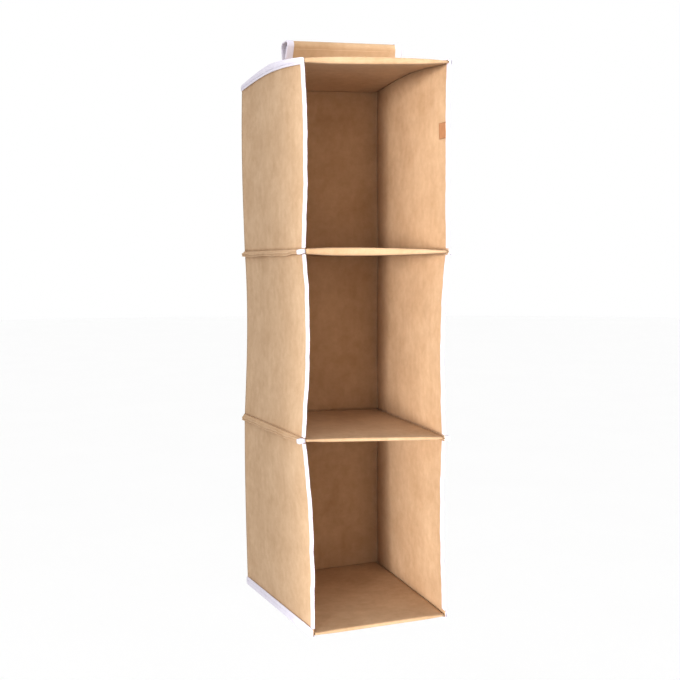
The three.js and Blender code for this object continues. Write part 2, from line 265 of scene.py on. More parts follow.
class Pattern:
    """A mesh in the making. Every point keeps its place along and across the cloth, for the weave."""

    def __init__(self) -> None:
        """Start with nothing."""
        self.bm = bmesh.new()
        self.along = self.bm.verts.layers.float.new("along")
        self.across = self.bm.verts.layers.float.new("across")
        self.girth = 0.0

    def sheet(
        self, counts: tuple[int, int], size: tuple[float, float], lay: Callable[[float, float], Vector]
    ) -> "Pattern":
        """Lay an even grid of cloth.

        Args:
            counts: How many squares it has each way.
            size: Its flat size, in metres.
            lay: Gives the place of a point from its two shares, each from 0 to 1.

        Returns:
            This pattern.
        """
        made = bmesh.ops.create_grid(self.bm, x_segments=counts[0], y_segments=counts[1], size=0.5)
        for vert in made["verts"]:
            a, b = vert.co.x + 0.5, vert.co.y + 0.5
            vert[self.along] = a * size[0]
            vert[self.across] = b * size[1]
            vert.co = lay(a, b)
        return self

    def sweep(self, section: Sequence[Vector], stations: Sequence[Matrix], closed: bool = True) -> "Pattern":
        """Draw a section along a line.

        Args:
            section: The section's points, in its own plane (x, y).
            stations: Where the section stands, one after the other.
            closed: Whether the section is a closed outline, which is then capped at both ends.

        Returns:
            This pattern.
        """
        bm = self.bm
        row = [bm.verts.new(stations[0] @ Vector((p.x, p.y, 0))) for p in section]
        reach = 0.0
        for i, vert in enumerate(row):
            reach += (section[i] - section[i - 1]).length if i else 0.0
            vert[self.across] = reach
        edges = [bm.edges.new(pair) for pair in zip(row, row[1:])]
        if closed:
            edges.append(bm.edges.new((row[-1], row[0])))
            self.girth = reach + (section[-1] - section[0]).length
        first = list(edges)
        travelled = 0.0
        for before, after in zip(stations, stations[1:]):
            travelled += (after.translation - before.translation).length
            made = bmesh.ops.extrude_edge_only(bm, edges=edges)["geom"]
            verts = [g for g in made if isinstance(g, bmesh.types.BMVert)]
            fresh = set(verts)
            edges = [g for g in made if isinstance(g, bmesh.types.BMEdge) and fresh.issuperset(g.verts)]
            bmesh.ops.transform(bm, matrix=after @ before.inverted(), verts=verts)
            for vert in verts:
                vert[self.along] = travelled
        if closed:
            bmesh.ops.edgenet_fill(bm, edges=first)
            bmesh.ops.edgenet_fill(bm, edges=edges)
        return self

    def stitches(self, spots: Iterable[Spot], size: tuple[float, float, float]) -> "Pattern":
        """Set a row of stitches, each a short rounded stretch of thread.

        Args:
            spots: For each stitch its place, its direction and the way out of the cloth.
            size: Its length, width and height.

        Returns:
            This pattern.
        """
        for place, way, out in spots:
            side = out.cross(way).normalized()
            rows = (way.normalized() * size[0], side * size[1], out.normalized() * size[2])
            turn = Matrix(rows).transposed().to_4x4()
            turn.translation = place
            made = bmesh.ops.create_icosphere(self.bm, subdivisions=1, radius=0.5, matrix=turn)
            for vert in made["verts"]:
                vert[self.along] = (vert.co - place).dot(way.normalized())
        return self

    def move(self, where: Callable[[Vector], Vector]) -> "Pattern":
        """Move every point by a function of its place."""
        for vert in self.bm.verts:
            vert.co = where(vert.co)
        return self

    def weave(self) -> None:
        """Write the flat places into a UV map, in metres."""
        uv = self.bm.loops.layers.uv.new("weave")
        for face in self.bm.faces:
            values = [loop.vert[self.across] for loop in face.loops]
            wraps = self.girth > 0 and max(values) - min(values) > self.girth / 2
            for loop, value in zip(face.loops, values):
                wrapped = value + self.girth if wraps and value < self.girth / 2 else value
                loop[uv].uv = (loop.vert[self.along], wrapped)

    def finish(self, name: str, thickness: float = 0.0) -> bpy.types.Object:
        """Hang the pattern as the organizer hangs on the rod, and make the piece's object.

        Args:
            name: The piece's name.
            thickness: The cloth's thickness, where the pattern is an open sheet.

        Returns:
            The object, at the origin.
        """
        self.weave()
        self.move(HANG.place)
        if thickness == 0:
            bmesh.ops.recalc_face_normals(self.bm, faces=self.bm.faces)
        mesh = bpy.data.meshes.new(name)
        self.bm.to_mesh(mesh)
        self.bm.free()
        mesh.shade_smooth()
        piece = bpy.data.objects.new(name, mesh)
        bpy.context.scene.collection.objects.link(piece)
        if thickness > 0:
            thick = piece.modifiers.new("cloth", "SOLIDIFY")
            thick.thickness = thickness
            thick.offset = 0
            thick.use_even_offset = True
            thick.use_quality_normals = True
        return piece


def standing(origin: Vector, u: Vector, v: Vector) -> Matrix:
    """A section's place: its x along u and its y along v."""
    across, up = u.normalized(), v.normalized()
    turn = Matrix((across, up, across.cross(up))).transposed().to_4x4()
    turn.translation = origin
    return turn


def puckered(stations: Sequence[Matrix], pitch: float, depth: float) -> list[Matrix]:
    """Stations at which a tape is a little thinner wherever a stitch pulls it in."""
    travelled = 0.0
    out = [stations[0]]
    for before, after in zip(stations, stations[1:]):
        travelled += (after.translation - before.translation).length
        squeeze = 1 - depth * (0.5 + 0.5 * math.cos(2 * math.pi * travelled / pitch))
        out.append(after @ Matrix.Diagonal((1, squeeze, 1, 1)))
    return out


def channel(leg: float, room: float, tape: float) -> list[Vector]:
    """Section of a tape folded over an edge: the fold is at x = 0 and both legs run towards +x.

    Args:
        leg: Length of each leg.
        room: Half the space between the legs.
        tape: The tape's thickness.

    Returns:
        The closed outline.
    """
    outer = room + tape
    lip = tape * 0.5
    outside = arc((outer, 0), outer, math.pi / 2, 3 * math.pi / 2, 10)
    inside = arc((outer, 0), room, 3 * math.pi / 2, math.pi / 2, 8)
    low_end = arc((leg - lip, -outer + lip), lip, -math.pi / 2, math.pi / 2, 4)
    high_end = arc((leg - lip, outer - lip), lip, -math.pi / 2, math.pi / 2, 4)
    legs = 4
    low_out = [outside[-1].lerp(low_end[0], i / legs) for i in range(1, legs)]
    low_in = [low_end[-1].lerp(inside[0], i / legs) for i in range(1, legs)]
    high_in = [inside[-1].lerp(high_end[0], i / legs) for i in range(1, legs)]
    high_out = [high_end[-1].lerp(outside[0], i / legs) for i in range(1, legs)]
    return outside + low_out + low_end + low_in + inside + high_in + high_end + high_out


# ---- Finishes ----------------------------------------------------------------------------------


Socket = bpy.types.NodeSocket


class Nodes:
    """A short way to write a material's nodes."""

    def __init__(self, name: str) -> None:
        """Start a material with a surface shader."""
        self.material = bpy.data.materials.new(name)
        self.material.use_nodes = True
        self.tree = self.material.node_tree
        self.shader = self.tree.nodes["Principled BSDF"]

    def add(self, kind: str, inputs: dict | None = None, **settings) -> bpy.types.Node:
        """Add a node.

        Args:
            kind: The node's type.
            inputs: Values or sockets for its inputs, by name or number.
            settings: The node's own settings.

        Returns:
            The node.
        """
        node = self.tree.nodes.new(kind)
        for key, value in settings.items():
            setattr(node, key, value)
        for key, value in (inputs or {}).items():
            self.set(node.inputs[key], value)
        return node

    def set(self, socket: Socket, value) -> None:
        """Give an input a value, or join it to an output."""
        if isinstance(value, Socket):
            self.tree.links.new(value, socket)
        else:
            socket.default_value = value

    def weave(self, scale: tuple[float, float] = (1, 1), turn: float = 0.0) -> Socket:
        """The piece's flat coordinates, stretched and turned."""
        uv = self.add("ShaderNodeUVMap", uv_map="weave")
        place = {"Vector": uv.outputs[0], "Rotation": (0, 0, turn), "Scale": (scale[0], scale[1], 1)}
        return self.add("ShaderNodeMapping", place).outputs[0]

    def spot(self, scale: tuple[float, float, float] = (1, 1, 1)) -> Socket:
        """The place on the object, stretched."""
        at = self.add("ShaderNodeTexCoord").outputs["Object"]
        return self.add("ShaderNodeMapping", {"Vector": at, "Scale": scale}).outputs[0]

    def noise(self, at: Socket, scale: float, detail: float = 2, rough: float = 0.5) -> Socket:
        """Soft noise from 0 to 1."""
        inputs = {"Vector": at, "Scale": scale, "Detail": detail, "Roughness": rough}
        return self.add("ShaderNodeTexNoise", inputs).outputs[0]

    def bands(self, inputs: dict, direction: str) -> Socket:
        """Soft stripes from 0 to 1."""
        wave = self.add("ShaderNodeTexWave", inputs, wave_type="BANDS", bands_direction=direction)
        return wave.outputs["Fac"]

    def ramp(self, value: Socket, low: float, high: float, to: tuple[float, float] = (0, 1)) -> Socket:
        """A value moved from one range to another."""
        inputs = {"Value": value, "From Min": low, "From Max": high, "To Min": to[0], "To Max": to[1]}
        return self.add("ShaderNodeMapRange", inputs).outputs[0]

    def blend(self, share: Socket, a, b, mode: str = "MIX") -> Socket:
        """One colour mixed with another."""
        node = self.add("ShaderNodeMix", data_type="RGBA", blend_type=mode)
        self.set(node.inputs[0], share)
        self.set(node.inputs[6], a)
        self.set(node.inputs[7], b)
        return node.outputs[2]

    def sum(self, *terms: tuple[Socket, float]) -> Socket:
        """A weighted sum."""
        total = None
        for value, weight in terms:
            inputs = {0: value, 1: weight, 2: total if total is not None else 0.0}
            total = self.add("ShaderNodeMath", inputs, operation="MULTIPLY_ADD").outputs[0]
        return total

    def give(self, **values) -> None:
        """Set the surface's own inputs, by their names with underscores for spaces."""
        for name, value in values.items():
            self.set(self.shader.inputs[name.replace("_", " ")], value)

    def bump(self, height: Socket, depth: float, strength: float = 1.0) -> None:
        """Raise the surface by a height from 0 to 1, that deep in metres."""
        inputs = {"Height": height, "Distance": depth, "Strength": strength}
        self.set(self.shader.inputs["Normal"], self.add("ShaderNodeBump", inputs).outputs[0])


def paint(red: int, green: int, blue: int) -> tuple[float, float, float, float]:
    """A colour as the shader wants it, from a screen colour."""
    shares = (value / 255 for value in (red, green, blue))
    linear = [c / 12.92 if c <= 0.04045 else ((c + 0.055) / 1.055) ** 2.4 for c in shares]
    return (*linear, 1.0)


@dataclass(frozen=True)
class Finish:
    """A finish: what a material is called and how it is made."""

    name: str

    def nodes(self) -> Nodes:
        """Start the material."""
        return Nodes(self.name)

    def dress(self, nodes: Nodes) -> None:
        """Write the material's nodes."""
        raise NotImplementedError

    def material(self) -> bpy.types.Material:
        """The finished material, made once."""
        found = bpy.data.materials.get(self.name)
        if found is None:
            nodes = self.nodes()
            self.dress(nodes)
            found = nodes.material
        return found


@dataclass(frozen=True)
class NonWoven(Finish):
    """Spun-bonded cloth: matted fibres pressed together at small points in rows."""

    name: str = "nonwoven_cloth"
    light: tuple = paint(214, 187, 157)
    dark: tuple = paint(190, 159, 126)
    point_pitch: float = 1.5 * MM
    depth: float = 0.16 * MM

    def dress(self, nodes: Nodes) -> None:
        """Colour from mottle, streaks and fibres, relief from fibres and bond points."""
        place = nodes.spot()
        mottle = nodes.noise(place, 15, 4, 0.6)
        cloud = nodes.noise(place, 75, 3, 0.55)
        streaks = nodes.noise(nodes.spot((95, 95, 9)), 1.0, 2, 0.5)
        fibres = nodes.noise(nodes.weave((900, 260)), 1.0, 4, 0.7)
        cross_fibres = nodes.noise(nodes.weave((300, 1000), 0.6), 1.0, 3, 0.7)
        per_metre = 1 / self.point_pitch
        cells = {"Vector": nodes.weave((per_metre, per_metre), math.pi / 4), "Scale": 1.0, "Randomness": 0.0}
        points = nodes.add("ShaderNodeTexVoronoi", cells).outputs["Distance"]
        raised = nodes.ramp(points, 0.16, 0.34)
        tone = nodes.sum((mottle, 0.38), (cloud, 0.28), (streaks, 0.10), (fibres, 0.24))
        colour = nodes.blend(nodes.ramp(tone, 0.34, 0.66), self.dark, self.light)
        pressed = nodes.blend(raised, paint(236, 226, 214), (1, 1, 1, 1))
        nodes.give(Base_Color=nodes.blend(0.8, colour, pressed, "MULTIPLY"))
        rough = nodes.sum((fibres, 0.16), (raised, 0.06), (cross_fibres, 0.10))
        nodes.give(Roughness=nodes.ramp(rough, 0.1, 0.26, (0.72, 0.92)))
        height = nodes.sum((fibres, 0.35), (cross_fibres, 0.35), (raised, 0.5), (cloud, 0.9))
        nodes.bump(height, self.depth, 0.55)
        nodes.give(Sheen_Weight=0.12, Sheen_Roughness=0.5, Specular_IOR_Level=0.25)


@dataclass(frozen=True)
class WovenTape(Finish):
    """Folded binding tape: a fine rib across it, white, with painted cool shade in the hollows of the ribs.
    """

    name: str = "binding_tape"
    # light is the tape's own white; dark is painted cool shade for the hollows of the ribs and threads
    light: tuple = paint(234, 230, 238)
    dark: tuple = paint(212, 207, 221)
    rib: float = 0.55 * MM
    depth: float = 0.10 * MM

    def dress(self, nodes: Nodes) -> None:
        """Ribs along the weave, crossed by threads, with a faint unevenness; the colour darkens in their
        hollows as painted shade.
        """
        ribs = {"Vector": nodes.weave((1 / self.rib / 6.3, 1)), "Scale": 1.0, "Distortion": 0.0}
        rib = nodes.bands(ribs, "X")
        threads = {"Vector": nodes.weave((1, 1 / self.rib / 8)), "Scale": 1.0, "Distortion": 0.0}
        thread = nodes.bands(threads, "Y")
        fuzz = nodes.noise(nodes.weave((1400, 1400)), 1.0, 3, 0.6)
        wear = nodes.noise(nodes.spot(), 55, 3, 0.6)
        # Painted shade: the rib and thread bands darken the hollows; the fuzz and wear noise add random
        # mottling.
        tone = nodes.sum((rib, 0.30), (thread, 0.15), (fuzz, 0.20), (wear, 0.35))
        colour = nodes.blend(nodes.ramp(tone, 0.30, 0.66), self.dark, self.light)
        nodes.give(Base_Color=colour)
        nodes.give(Roughness=nodes.ramp(fuzz, 0.3, 0.7, (0.62, 0.82)))
        nodes.bump(nodes.sum((rib, 0.55), (thread, 0.3), (fuzz, 0.35)), self.depth, 0.6)
        nodes.give(Sheen_Weight=0.1, Specular_IOR_Level=0.3)


@dataclass(frozen=True)
class Thread(Finish):
    """Sewing thread, twisted."""

    name: str = "white_thread"
    colour: tuple = paint(238, 236, 242)
    # shade is painted shade for the grooves between the plies
    shade: tuple = paint(204, 200, 213)

    def dress(self, nodes: Nodes) -> None:
        """Slanting plies along the thread, with painted shade in the grooves between them."""
        twist = {"Vector": nodes.spot((1, 1, 1)), "Scale": 420.0, "Distortion": 1.0}
        plies = nodes.bands(twist, "DIAGONAL")
        # Painted shade: the colour drops to the shade tone in the grooves between the plies.
        nodes.give(Base_Color=nodes.blend(plies, self.shade, self.colour))
        nodes.give(Roughness=nodes.ramp(plies, 0, 1, (0.6, 0.45)))
        nodes.bump(plies, 0.05 * MM, 0.5)


@dataclass(frozen=True)
class GreyBoard(Finish):
    """Thick recycled card: flecks, a pressed surface and furry cut edges."""

    name: str = "grey_board"
    light: tuple = paint(178, 166, 146)
    dark: tuple = paint(140, 128, 110)

    def dress(self, nodes: Nodes) -> None:
        """Flecks and pressed fibres."""
        flecks = nodes.noise(nodes.spot(), 420, 5, 0.75)
        cloud = nodes.noise(nodes.spot(), 30, 3, 0.5)
        tone = nodes.sum((flecks, 0.6), (cloud, 0.4))
        nodes.give(Base_Color=nodes.blend(nodes.ramp(tone, 0.35, 0.65), self.dark, self.light))
        nodes.give(Roughness=nodes.ramp(flecks, 0.3, 0.7, (0.8, 0.95)))
        nodes.bump(flecks, 0.15 * MM, 0.5)


@dataclass(frozen=True)
class Pile(Finish):
    """The ground of a hook tape, or the brushed loops of a loop tape."""

    name: str = "loop_pile"
    light: tuple = paint(222, 196, 160)
    dark: tuple = paint(186, 156, 118)
    scale: float = 1500.0
    depth: float = 0.35 * MM

    def dress(self, nodes: Nodes) -> None:
        """Curly fibres over a soft unevenness."""
        curls = nodes.noise(nodes.weave((self.scale, self.scale)), 1.0, 4, 0.75)
        tufts = nodes.noise(nodes.weave((320, 320)), 1.0, 3, 0.6)
        tone = nodes.sum((curls, 0.6), (tufts, 0.4))
        nodes.give(Base_Color=nodes.blend(nodes.ramp(tone, 0.35, 0.65), self.dark, self.light))
        nodes.give(Roughness=nodes.ramp(curls, 0.3, 0.7, (0.8, 0.98)))
        nodes.bump(tone, self.depth, 0.8)
        nodes.give(Sheen_Weight=0.25)


@dataclass(frozen=True)
class Satin(Finish):
    """The blank care label: a fine, slightly glossy weave."""

    name: str = "label_satin"
    light: tuple = paint(190, 146, 112)
    dark: tuple = paint(170, 126, 94)

    def dress(self, nodes: Nodes) -> None:
        """Long floats across the label."""
        floats = nodes.noise(nodes.weave((5200, 700)), 1.0, 3, 0.6)
        cloud = nodes.noise(nodes.weave((90, 90)), 1.0, 2, 0.5)
        tone = nodes.sum((floats, 0.6), (cloud, 0.4))
        nodes.give(Base_Color=nodes.blend(nodes.ramp(tone, 0.35, 0.65), self.dark, self.light))
        nodes.give(Roughness=nodes.ramp(floats, 0.3, 0.7, (0.38, 0.55)))
        nodes.bump(floats, 0.05 * MM, 0.4)
        nodes.give(Anisotropic=0.3)


@dataclass(frozen=True)
class PaleFloor(Finish):
    """The studio floor: almost white, matt, faintly uneven."""

    name: str = "pale_floor"
    light: tuple = (0.99, 0.99, 0.99, 1)
    dark: tuple = (0.975, 0.975, 0.975, 1)

    def dress(self, nodes: Nodes) -> None:
        """A hardly visible unevenness."""
        cloud = nodes.noise(nodes.spot(), 1.5, 2, 0.5)
        nodes.give(Base_Color=nodes.blend(cloud, self.dark, self.light))
        nodes.give(Roughness=0.9)


CLOTH_FINISH = NonWoven()
TAPE_FINISH = WovenTape()
WHITE_THREAD = Thread()
# Each thread's second colour is painted shade for its ply grooves.
TAN_THREAD = Thread("tan_thread", paint(250, 230, 204), paint(216, 188, 152))
BOARD_FINISH = GreyBoard()
LOOP_FINISH = Pile()
HOOK_FINISH = Pile("hook_ground", paint(214, 190, 156), paint(176, 148, 112), 2600.0, 0.12 * MM)
LABEL_FINISH = Satin()


def fit_out(
    piece: bpy.types.Object,
    finish: Finish,
    body: str | None = None,
    stands_for: Sequence[str] = (),
) -> bpy.types.Object:
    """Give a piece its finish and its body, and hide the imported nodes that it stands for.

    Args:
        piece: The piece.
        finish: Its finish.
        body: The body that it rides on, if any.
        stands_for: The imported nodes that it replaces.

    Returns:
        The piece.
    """
    piece.data.materials.append(finish.material())
    if body is not None:
        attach(piece, body)
    if stands_for:
        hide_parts(*stands_for)
    log.info("%-34s %6d points, on %s", piece.name, len(piece.data.vertices), body or "two bodies")
    return piece


def seam_line(
    points: Sequence[Vector], out: Vector | Callable[[Vector], Vector], pitch: float = STITCH_PITCH
) -> list[Spot]:
    """Stitches along a line.

    Args:
        points: The line that the needle follows.
        out: The way out of the cloth, or a function that gives it.
        pitch: From one stitch to the next.

    Returns:
        A list of the place, direction and way out of each stitch.
    """
    spots = []
    carried = pitch / 2
    for a, b in zip(points, points[1:]):
        length = (b - a).length
        at = carried
        while at < length:
            place = a.lerp(b, at / length)
            spots.append((place, b - a, out(place) if callable(out) else out))
            at += pitch
        carried = at - length
    return spots


def sew(
    name: str, spots: Sequence[Spot], finish: Finish, body: str | None, thread: float = 0.75 * MM
) -> bpy.types.Object:
    """Make a row of stitches as one piece."""
    size = (STITCH_PITCH * 0.74, thread, thread * 0.75)
    return fit_out(Pattern().stitches(spots, size).finish(name), finish, body)


# ---- Sub-assemblies ----------------------------------------------------------------------------


def crumple(piece: bpy.types.Object, bay: int, *edges: Edge) -> bpy.types.Object:
    """Give a piece of a bay's wall its own mesh; where it would gather against the panel above is worked out
    but not used, and nothing crumples.

    Args:
        piece: The piece.
        bay: The bay's number.
        edges: The standing edges that the piece hangs along.

    Returns:
        The piece.
    """
    above = sum(edge.up[bay - 1] for edge in edges) / len(edges) * MM
    gather = HANG.level(bay - 1) - PANEL / 2 + above
    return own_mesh(piece)


WALL_MIDDLE = (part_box("bay_1_right_wall")[0][0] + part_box("bay_1_right_wall")[1][0]) / 2
WALL_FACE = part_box("bay_1_right_wall")[1][0]
WALL = 1.5 * MM
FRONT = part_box("bay_1_left_binding")[0][1]
TAPE_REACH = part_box("bay_1_left_binding")[1][1] - FRONT


def flutter(a: float, b: float, seed: float) -> float:
    """Soft unevenness of stretched cloth, from -1 to 1, still along its sewn edges.

    Args:
        a: Share of the way across the cloth.
        b: Share of the way along it.
        seed: A number of the cloth's own.

    Returns:
        The unevenness.
    """
    still = smooth(min(a, 1 - a), 0.0, 0.16) * smooth(min(b, 1 - b), 0.0, 0.16)
    broad = noise.noise(Vector((a * 2.1 + seed, b * 2.4, seed * 1.7)))
    small = noise.noise(Vector((a * 5.5, b * 6.5 + seed, seed * 0.9)))
    return still * (1.3 * broad + 0.45 * small)


@dataclass(frozen=True)
class Cover:
    """A boarded panel: cloth folded round the board's front edge, with its board or boards inside."""

    prefix: str
    body: str
    middle: float
    roofed: bool = False
    puff_up: float = 0.0
    puff_down: float = 0.0
    puff_at: float = -0.04
    puff_reach: float = 0.085
    roll_depth: float = 15 * MM
    side_room: float = 1.1 * MM
    pinch: float = 0.45
    card_inset: float = 12 * MM

    @cached_property
    def box(self) -> tuple[Vector, Vector]:
        """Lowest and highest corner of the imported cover."""
        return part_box(f"{self.prefix}_cover")

    def height(self, y: float) -> float:
        """Height of the panel's middle at a depth."""
        return HANG.roof(y) if self.roofed else self.middle

    def shape(self, co: Vector) -> Vector:
        """Swell the front roll, pinch the ridge and give the flat cloth a slight unevenness."""
        middle = self.height(co.y)
        rise = co.z - middle
        roll = hump(co.y, FRONT + 9 * MM, self.roll_depth)
        lens = max(0.0, 1 - ((co.x - self.puff_at) / (2 * self.puff_reach)) ** 2) ** 1.5
        puff = self.puff_up if rise > 0 else self.puff_down
        full = 1 + puff / (PANEL / 2) * roll * lens
        low, high = self.box
        from_end = min(co.x - low[0], high[0] - co.x)
        full -= self.pinch * roll * (1 - smooth(from_end, 2 * MM, 45 * MM))
        if self.roofed:
            full -= 0.35 * hump(co.y, 0, 3 * MM)
        a = (co.x - low[0]) / (high[0] - low[0])
        b = (co.y - low[1]) / (high[1] - low[1])
        wave = flutter(min(max(a, 0), 1), min(max(b, 0), 1), self.middle * 7 + (2.0 if rise > 0 else 5.0))
        return Vector((co.x, co.y, middle + rise * full + 0.35 * MM * wave * (1 if rise > 0 else -1)))

    def cloth(self) -> bpy.types.Object:
        """Sleeve of cloth, drawn from one side to the other."""
        low, high = self.box
        half = PANEL / 2 - CLOTH / 2
        nose = FRONT + PANEL / 2
        fold = [Vector((p.x, p.y)) for p in arc((nose, 0), half, math.pi / 2, 3 * math.pi / 2, 12)]
        line = run([Vector((high[1], half)), Vector((0.0, half)), fold[0]], 6 * MM)
        under = run([fold[-1], Vector((0.0, -half)), Vector((high[1], -half))], 6 * MM)
        section = line + fold[1:-1] + under
        inset = self.side_room
        stations = [
            standing(Vector((x, 0, 0)), Vector((0, 1, 0)), Vector((0, 0, 1)))
            for x in steps(low[0] + inset, high[0] - inset, 6 * MM)
        ]
        pattern = Pattern().sweep(section, stations, closed=False)
        pattern.move(lambda co: self.shape(Vector((co.x, co.y, co.z + self.height(co.y)))))
        piece = pattern.finish(f"{self.prefix}_cloth", CLOTH)
        fit_out(piece, CLOTH_FINISH, self.body, [f"{self.prefix}_cover"])
        return piece

    def card(self, node: str) -> bpy.types.Object:
        """One board, as thick card that follows the panel."""
        low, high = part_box(node)
        front = max(low[1], FRONT + self.card_inset)
        size = (high[0] - low[0] - 2 * MM, high[1] - front)
        pattern = Pattern().sheet(
            (20, 20),
            size,
            lambda a, b: Vector((mix(low[0] + MM, high[0] - MM, a), mix(front, high[1], b), 0)),
        )
        pattern.move(lambda co: Vector((co.x, co.y, self.height(co.y))))
        piece = pattern.finish(node.replace("board", "card"), 2.6 * MM)
        return fit_out(piece, BOARD_FINISH, self.body, [node])

    def build(self) -> None:
        """Make the panel."""
        self.cloth()
        boards = [f"{self.prefix}_board"]
        if self.roofed:
            boards = ["top_front_board", "top_rear_board"]
        for node in boards:
            self.card(node)
        if self.roofed:
            self.ridge_seam()

    def ridge_seam(self) -> None:
        """The line of stitches between the top panel's two boards, over and under."""
        half = PANEL / 2 * 0.72
        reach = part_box("top_cover")[1][0] - 4 * MM
        for word, sign in (("under", -1), ("over", 1)):
            line = [Vector((x, 0, HANG.roof(0) + sign * half)) for x in (-reach, reach)]
            spots = seam_line(line, Vector((0, 0, sign)))
            sew(f"ridge_stitches_{word}", spots, TAN_THREAD, self.body)


@dataclass(frozen=True)
class Bay:
    """The two side walls and the back wall of one bay, with the tape down both front edges."""

    number: int
    body: str
    unevenness: float = 1.5 * MM
    stitch_inset: float = 3 * MM

    @property
    def prefix(self) -> str:
        """The start of its nodes' names."""
        return f"bay_{self.number}"

    def side_wall(self, side: Side) -> bpy.types.Object:
        """One side wall, stretched between two panels."""
        node = f"{self.prefix}_{side.word}_wall"
        low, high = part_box(node)
        flat = (high[1] - low[1], high[2] - low[2])
        over_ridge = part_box("top_left_binding")[1][2] - HANG.roof(0)
        crest = over_ridge - (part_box("top_back_binding")[1][2] - HANG.top)

        def lay(a: float, b: float) -> Vector:
            """A point of the wall."""
            y = mix(low[1], high[1], a)
            upper = high[2]
            if self.number == 1:
                upper = HANG.roof(y) + PANEL / 2 + crest * (1 - abs(y) / HANG.half_depth)
            wave = flutter(a, b, self.number * 3.1 + side.value) + self.creases(side, a, b)
            return Vector((side.value * WALL_MIDDLE + wave * self.unevenness, y, mix(low[2], upper, b)))

        piece = Pattern().sheet((60, 60), flat, lay).finish(f"{self.prefix}_{side.word}_cloth", CLOTH)
        fit_out(piece, CLOTH_FINISH, self.body, [node])
        crumple(piece, self.number, HANG.front(side), HANG.back(side))
        return piece

    def creases(self, side: Side, a: float, b: float) -> float:
        """Faint fold lines left from when it was packed flat."""
        if side is Side.LEFT and self.number == 3:
            slanting = hump(b - 0.30 + 0.55 * (a - 0.5), 0, 0.012)
            return -0.5 * slanting * smooth(a, 0.35, 0.6) * smooth(1 - a, 0, 0.3)
        return -0.22 * hump(b, 0.52, 0.02) * smooth(min(a, 1 - a), 0, 0.3)

    def back_wall(self) -> bpy.types.Object:
        """The back wall."""
        node = f"{self.prefix}_back_wall"
        low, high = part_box(node)
        middle = (low[1] + high[1]) / 2

        def lay(a: float, b: float) -> Vector:
            """A point of the wall."""
            wave = flutter(a, b, 20 + self.number)
            return Vector((mix(low[0], high[0], a), middle + wave * self.unevenness, mix(low[2], high[2], b)))

        flat = (high[0] - low[0], high[2] - low[2])
        piece = Pattern().sheet((50, 60), flat, lay).finish(f"{self.prefix}_back_cloth", CLOTH)
        fit_out(piece, CLOTH_FINISH, self.body, [node])
        crumple(piece, self.number, HANG.back_left, HANG.back_right)
        return piece

    def front_tape(self, side: Side) -> None:
        """Tape folded over one wall's front edge, and its stitches on both faces."""
        node = f"{self.prefix}_{side.word}_binding"
        low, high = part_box(node)
        tape = 1.0 * MM
        room = (high[0] - low[0]) / 2 - tape
        middle = side.value * WALL_MIDDLE
        top = high[2] if self.number > 1 else HANG.top + PANEL / 2
        heights = steps(low[2], top, STITCH_PITCH / 2)
        back, right = Vector((0, 1, 0)), Vector((1, 0, 0))
        stations = [standing(Vector((middle, FRONT, z)), back, right) for z in heights]
        stations = puckered(stations, STITCH_PITCH, 0.10)
        pattern = Pattern().sweep(channel(TAPE_REACH, room, tape), stations)
        piece = pattern.finish(f"{self.prefix}_{side.word}_tape")
        fit_out(piece, TAPE_FINISH, self.body, [node])
        crumple(piece, self.number, HANG.front(side))
        outer = room + tape
        y = FRONT + TAPE_REACH - self.stitch_inset
        for word, sign in (("outer", side.value), ("inner", -side.value)):
            x = middle + sign * outer * 0.97
            line = [Vector((x, y, low[2] + MM)), Vector((x, y, high[2] - MM))]
            name = f"{self.prefix}_{side.word}_tape_{word}_stitches"
            stitches = sew(name, seam_line(line, Vector((sign, 0, 0))), WHITE_THREAD, self.body)
            crumple(stitches, self.number, HANG.front(side))

    def build(self) -> None:
        """Make the bay."""
        for side in Side:
            self.side_wall(side)
            self.front_tape(side)
        self.back_wall()


@dataclass(frozen=True)
class CareLabel:
    """Blank label sewn inside the top bay, held along its front edge and curling a little at the other."""

    curl: float = 1.6 * MM
    thickness: float = 0.35 * MM

    def build(self) -> None:
        """Make the label and the stitches that hold it."""
        low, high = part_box("care_label")
        size = (high[1] - low[1], high[2] - low[2])
        face = (low[0] + high[0]) / 2

        def lay(a: float, b: float) -> Vector:
            """A point of the label."""
            lift = self.curl * a * a * (0.6 + 0.4 * math.sin(b * 2.4))
            return Vector((face - lift, mix(low[1], high[1], a), mix(low[2], high[2], b)))

        piece = Pattern().sheet((14, 16), size, lay).finish("care_label_cloth", self.thickness)
        fit_out(piece, LABEL_FINISH, "top", ["care_label"])
        crumple(piece, 1, HANG.front_right)
        x = face - self.thickness * 0.6
        line = [Vector((x, low[1] + 1.5 * MM, z)) for z in (low[2] + MM, high[2] - MM)]
        spots = seam_line(line, Vector((-1, 0, 0)), 2.4 * MM)
        stitches = sew("care_label_stitches", spots, TAN_THREAD, "top", 0.5 * MM)
        crumple(stitches, 1, HANG.front_right)


